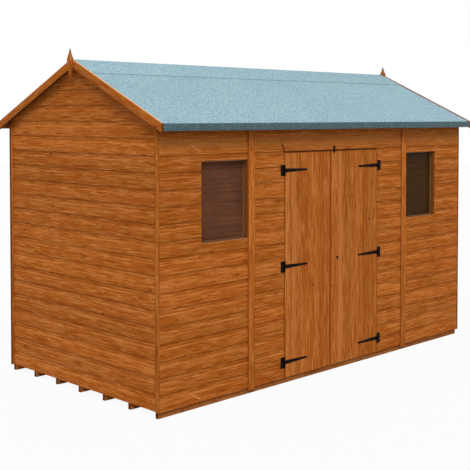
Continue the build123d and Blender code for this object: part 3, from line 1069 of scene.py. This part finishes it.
def butted(piece):
    # panels are screwed together side by side, so no daylight shows between their frames
    joint = (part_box("front_left_wall")[1].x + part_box("door_left_wall")[0].x) / 2
    for point in piece.data.vertices:
        for place in (joint, 0, -joint):
            if abs(point.co.x - place) < panelPlay:
                point.co.x = place


softness = dict(timber=0.0012, ledge=0.002, strip=0.0012, barge=0.0015, finial=0.0008, iron=0.0006)
for node in timbers:
    piece = softened(node, softness["timber"])
    if node.endswith(("_frame", "_frames")):
        butted(piece)
    dress(piece, sawnLong, sawnAcross, sawnUpright, endGrain, revealShade)
    paintByRun(piece)
    if "front" in node:
        low, high = openings[0]
        sliced(piece, [(0, 0, low.z + windowCut["lap"]), (0, 0, high.z - windowCut["lap"])], (0, 0, 1))
        paintFaces(piece, 4, inOpening)
    settle(piece, "shell", "treated_wood" if node == "floor_joists" else "sawn_wood", node)

for side in ("left", "right"):
    node = side + "_door_ledges"
    ledges = softened(node, softness["ledge"])
    dress(ledges, sawnLong, sawnAcross, sawnUpright, endGrain)
    paintByRun(ledges)
    settle(ledges, side + "_leaf", "sawn_wood", node)

joints = softened("joint_strips", softness["strip"])
dress(joints, stripWood, stripSide, endGrain)
# painted shade on the sides of the strips
paintFaces(joints, 1, lambda middle, normal: abs(normal.x) > withArris)
paintFaces(joints, 2, lambda middle, normal: abs(normal.z) > withArris)
settle(joints, "shell", "stained_wood", "joint_strips")

corners = softened("corner_strips", softness["strip"])
dress(corners, plainUpright, darkEdge, endGrain, backStrip, stripWood)
# painted shade on the front and back faces of the right corner strips
paintFaces(corners, 1, lambda middle, normal: abs(normal.y) > withArris and middle.x > 0)
paintFaces(corners, 2, lambda middle, normal: abs(normal.z) > withArris)
# the back strips' faces toward the gables carry painted shade along their back edge
paintFaces(corners, 3, lambda middle, normal: middle.y > 0 and abs(normal.x) > withArris)
# painted light: each back strip's front-facing side gets the lighter strip wood, to lift the shade in the
# corner beside it
paintFaces(corners, 4, lambda middle, normal: middle.y > 0 and normal.y < -withArris)
settle(corners, "shell", "stained_wood", "corner_strips")

finialTip = 0.028
for side in ("left", "right"):
    node = side + "_bargeboards"
    barge = softened(node, softness["barge"])
    dress(barge, bargeFront, bargeBack, topHighlight, darkEdge, endGrain)
    paintFaces(barge, 1, lambda middle, normal: middle.y > 0)
    # the left front slope's top edge gets a painted highlight; the other top edges and the undersides get
    # painted shade
    topEdge = 2 if side == "left" else 3
    paintFaces(barge, topEdge, lambda middle, normal: normal.z > 0.6 and middle.y < 0)
    paintFaces(barge, 3, lambda middle, normal: normal.z > 0.6 and middle.y > 0)
    paintFaces(barge, 3, lambda middle, normal: normal.z < -0.6)
    paintFaces(barge, 4, lambda middle, normal: abs(normal.y) > cutEnd)
    settle(barge, "shell", "stained_wood", node)

    node = side + "_finial"
    finial = softened(node, softness["finial"])
    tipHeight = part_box(node)[1].z - finialTip
    sliced(finial, [(0, 0, tipHeight)], (0, 0, 1))
    dress(finial, plainUpright, darkEdge)
    paintFaces(finial, 1, lambda middle, normal: middle.z > tipHeight)
    settle(finial, "shell", "stained_wood", node)
print("timbers made")


# ironmongery, and what fastens it

for node, body in (("hinge_plates", "shell"), ("left_hinge_straps", "left_leaf"),
                   ("right_hinge_straps", "right_leaf"), ("lock_escutcheon", "right_leaf"),
                   ("lock_case", "right_leaf"), ("turn_button", "button")):
    piece = softened(node, softness["iron"])
    dress(piece, iron)
    settle(piece, body, "black_iron", node)


def nailHead(radius, rise, sides=8, top=0.6):
    head = roundBar("nailHead", sides, radius, -rise, 0)
    openEdit(head)
    pickFaces(head, facing("y", -1))
    resize(top, 1, top, (0, 0, 0))
    closeEdit()
    return head


def screwHead(radius, rise, rim=0.28, recess=0.55):
    # its middle is sunk inside a rim
    head = nailHead(radius, rise, sides=14, top=0.72)
    openEdit(head)
    pickFaces(head, facing("y", -1))
    bpy.ops.mesh.inset(thickness=radius * rim)
    extrude(0, rise * recess, 0)
    closeEdit()
    return head


# radius and rise of each head, then where they sit and how many rows there are
fixings = dict(
    screw=(0.0036, 0.0014),
    pivot=(0.0055, 0.0022),
    pin=(0.0016, 0.0006),
    nail=(0.0017, 0.0004),
    clout=(0.0045, 0.0010),
    plateFace=0.003,
    plateHalf=0.0415,
    plateColumns=(0.014, 0.029),
    plateRise=0.029,
    strapPlaces=(0.040, 0.115, 0.190),
    lockInset=0.010,
    pinInset=0.004,
    pivotLift=0.009,
    wallShares=(0.22, 0.78),
    frontStuds=(0.022, 0.335, 0.83),
    doorPosts=(0.028, 0.908),
    gableInset=0.022,
    underRoof=0.05,
    backStuds=(0.066, 0.652, 1.237, 1.779),
    wallRows=17,
    gableRows=20,
    leafBoards=7,
    doorShares=(0.25, 0.75),
    doorClear=(0.045, 0.02),
    ledgeRise=0.032,
    cloutSpacing=0.15,
    cloutEnd=0.04,
    flapRise=0.024,
    flapStand=0.0012,
    capInset=0.03,
)

plateLow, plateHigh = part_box("hinge_plates")
hingeLevels = (plateLow.z + fixings["plateHalf"], (plateLow.z + plateHigh.z) / 2,
               plateHigh.z - fixings["plateHalf"])
hingeAxis = max(abs(joint["pos_m"][0]) for joint in frame["joints"] if "door" in joint["name"])


def headsAt(kind, places, name, *turns):
    make = screwHead if kind in ("screw", "pivot") else nailHead
    head = make(*fixings[kind])
    for turn in turns:
        turnPoints(head, turn)
    return copiesAt(head, places, name)


def fasten(heads, body, material=iron):
    dress(heads, material)
    settle(heads, body, "black_iron")


def hingeScrews():
    face = frontFace - fixings["plateFace"]
    plate = [(side * (hingeAxis + column), face, level + lift)
             for side in (-1, 1) for column in fixings["plateColumns"] for level in hingeLevels
             for lift in (-fixings["plateRise"], fixings["plateRise"])]
    fasten(headsAt("screw", plate, "hingePlateScrews"), "shell")
    for side, body in ((-1, "left_leaf"), (1, "right_leaf")):
        strap = [(side * (hingeAxis - place), face, level)
                 for place in fixings["strapPlaces"] for level in hingeLevels]
        fasten(headsAt("screw", strap, body + "StrapScrews"), body)


def lockScrews():
    low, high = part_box("lock_case")
    inset = fixings["lockInset"]
    places = [(x, high.y, z) for x in (low.x + inset, high.x - inset)
              for z in (low.z + inset, high.z - inset)]
    fasten(headsAt("screw", places, "lockCaseScrews", (0, 0, 2 * quarter)), "right_leaf")

    low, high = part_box("lock_escutcheon")
    level = high.z - (high.x - low.x) / 2
    places = [(x, low.y, level) for x in (low.x + fixings["pinInset"], high.x - fixings["pinInset"])]
    fasten(headsAt("pin", places, "escutcheonPins"), "right_leaf")

    low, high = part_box("turn_button")
    places = [((low.x + high.x) / 2, low.y, low.z + fixings["pivotLift"])]
    fasten(headsAt("pivot", places, "buttonScrew"), "button")


def nailRows(count):
    return [wallFoot + cover * (row + share) for row in range(count) for share in fixings["wallShares"]]


def wallNails():
    low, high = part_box("right_window_pane")
    wallRows = nailRows(fixings["wallRows"])
    panelEnd = abs(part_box("front_right_wall")[1].x)
    front = []
    for side in (-1, 1):
        for stud in fixings["frontStuds"]:
            x = panelEnd - stud
            front += [(side * x, frontFace, z) for z in wallRows
                      if not (low.x < x < high.x and low.z < z < high.z)]
        posts = (abs(leftLow.x) + fixings["doorPosts"][0], fixings["doorPosts"][1])
        front += [(side * x, frontFace, z) for x in posts for z in wallRows if z < doorTop]
    heads = [headsAt("nail", front, "nails")]
    low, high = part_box("left_gable_wall")
    half = high.y - fixings["gableInset"]
    roofLine = high.z - fixings["underRoof"]
    for side in (-1, 1):
        places = [(side * abs(low.x), y, z) for y in (-half, -half / 2, 0, half / 2, half)
                  for z in nailRows(fixings["gableRows"]) if z < roofLine - abs(y) * math.tan(pitch)]
        heads.append(headsAt("nail", places, "nails", (0, 0, side * quarter)))
    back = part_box("back_left_wall")[1].y
    places = [(side * x, back, z) for side in (-1, 1) for x in fixings["backStuds"] for z in wallRows]
    heads.append(headsAt("nail", places, "nails", (0, 0, 2 * quarter)))
    fasten(join(heads, "wallNails"), "shell", steel)


def doorNails():
    clearHinge, clearEnd = fixings["doorClear"]
    lifts = (-fixings["ledgeRise"], fixings["ledgeRise"])
    for side, low, high in (("left", leftLow, leftHigh), ("right", rightLow, rightHigh)):
        start, boardCover = doorBoards[side]
        lines = [start + boardCover * (board + share)
                 for board in range(fixings["leafBoards"]) for share in fixings["doorShares"]]
        places = [(x, frontFace, level + lift) for x in lines for level in hingeLevels for lift in lifts
                  if low.x + clearHinge < x < high.x - clearEnd]
        body = side + "_leaf"
        fasten(headsAt("nail", places, body + "Nails"), body, steel)


hingeScrews()
lockScrews()
wallNails()
doorNails()
print("ironmongery made")


# felt, turned down over the eaves and held by clout nails

felt = dict(
    cuts=46,
    fold=0.045,
    wave=0.0016,
    waves=((5.1, 0.0, 0.5), (13.7, 1.0, 0.3), (31.0, 2.0, 0.2)),
    hang=0.0018,
    hangRate=3.3,
    hangFrom=0.9,
    soft=0.0022,
    capSoft=0.001,
)


def wavyFelt(node, side):
    low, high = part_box(node)
    piece = softened(node, felt["soft"], 3)
    cuts = [(low.x + (high.x - low.x) * cut / felt["cuts"], 0, 0) for cut in range(1, felt["cuts"])]
    sliced(piece, cuts, (1, 0, 0))
    fold = low.z + felt["fold"]
    for point in piece.data.vertices:
        if point.co.z < fold:
            share = (fold - point.co.z) / (fold - low.z)
            swing = sum(math.sin(point.co.x * rate + start) * size for rate, start, size in felt["waves"])
            point.co.y += side * felt["wave"] * share * (swing + 1.0)
            if share > felt["hangFrom"]:
                point.co.z += felt["hang"] * (math.sin(point.co.x * felt["hangRate"]) * 0.5 + 0.5)
    dress(piece, roofFelt)
    settle(piece, "shell", "roofing_felt", node)


def cloutNails():
    heads = []
    low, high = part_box("front_felt")
    capLow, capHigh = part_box("ridge_felt")
    count = int((high.x - low.x) / fixings["cloutSpacing"])
    end = fixings["cloutEnd"]
    spread = [low.x + end + (high.x - low.x - 2 * end) * i / count for i in range(count + 1)]
    flap = abs(low.y) + fixings["flapStand"]
    cap = abs(capLow.y) - fixings["capInset"]
    for side, turn in ((-1, 0), (1, 2 * quarter)):
        places = [(x, side * flap, low.z + fixings["flapRise"]) for x in spread]
        heads.append(headsAt("clout", places, "clouts", (0, 0, turn)))
        places = [(x, side * cap, capHigh.z - cap * math.tan(pitch)) for x in spread]
        heads.append(headsAt("clout", places, "clouts", (-quarter, 0, 0), (-side * pitch, 0, 0)))
    fasten(join(heads, "cloutNails"), "shell", dullSteel)


wavyFelt("front_felt", -1)
wavyFelt("back_felt", 1)
cap = softened("ridge_felt", felt["capSoft"])
dress(cap, capFelt)
settle(cap, "shell", "roofing_felt", "ridge_felt")
cloutNails()

dress(frame["nodes"]["left_window_pane"], leftGlass)
dress(frame["nodes"]["right_window_pane"], rightGlass)
print("felt and glass made")


# floor, lamps and camera

studio = dict(
    camera=(-5.9172, -5.7758, 2.0320),
    heading=math.radians(44.707),
    tilt=math.radians(1.883),
    sensor=36,
    lens=73.24085,
    shift=-0.185,
    worldStrength=0.52,
    sunStrength=2.6,
    sunAngle=math.radians(28),
    sunFrom=(-0.54, -0.62, 0.85),
    sunPlace=(-4, -5, 8),
    floorSize=60,
    floorGrey=0.62,
    floorRough=0.9,
    floorWhite=0.93,
)


white = (1, 1, 1, 1)


def whiteBackdrop():
    # white to the camera and in reflections, and dimmer as a light
    world = bpy.data.worlds.new("studioWorld")
    world.use_nodes = True
    bpy.context.scene.world = world
    tree = world.node_tree
    tree.nodes.clear()
    rays = tree.nodes.new("ShaderNodeLightPath").outputs
    seen = maths("MAXIMUM", rays["Is Glossy Ray"], rays["Is Transmission Ray"])
    seen = maths("MAXIMUM", rays["Is Camera Ray"], seen)
    soft, plain = [add("Background", {"Color": white, "Strength": strength}, tree).outputs[0]
                   for strength in (studio["worldStrength"], 1.0)]
    both = add("MixShader", {0: seen, 1: soft, 2: plain}).outputs[0]
    add("OutputWorld", {"Surface": both})


def paleFloor():
    clearSelection()
    bpy.ops.mesh.primitive_plane_add(size=studio["floorSize"], location=(0, 0, 0))
    floor = bpy.context.object
    floor.name = "paleFloor"
    material, surface = newMaterial("paleFloor")[:2]
    tree = material.node_tree
    grey = studio["floorGrey"]
    feed(surface, {"Base Color": (grey, grey, grey, 1), "Roughness": studio["floorRough"]})
    seen = tree.nodes.new("ShaderNodeLightPath").outputs["Is Camera Ray"]
    glow = add("Emission", {"Color": white, "Strength": 1.0}, tree).outputs[0]
    share = times(seen, studio["floorWhite"])
    blend = add("MixShader", {0: share, 1: surface.outputs[0], 2: glow}).outputs[0]
    feed(tree.nodes["Material Output"], {"Surface": blend})
    dress(floor, material)


def sun():
    clearSelection()
    bpy.ops.object.light_add(type="SUN", location=studio["sunPlace"])
    lamp = bpy.context.object
    lamp.data.energy = studio["sunStrength"]
    lamp.data.angle = studio["sunAngle"]
    lamp.rotation_euler = Vector(studio["sunFrom"]).to_track_quat("Z", "Y").to_euler()


def camera():
    clearSelection()
    bpy.ops.object.camera_add(location=studio["camera"],
                              rotation=(quarter - studio["tilt"], 0, -studio["heading"]))
    eye = bpy.context.object
    eye.data.sensor_width = studio["sensor"]
    eye.data.lens = studio["lens"]
    eye.data.shift_y = studio["shift"]
    bpy.context.scene.camera = eye


whiteBackdrop()
paleFloor()
sun()
camera()
bpy.context.scene.view_settings.view_transform = "Standard"
print("studio ready")
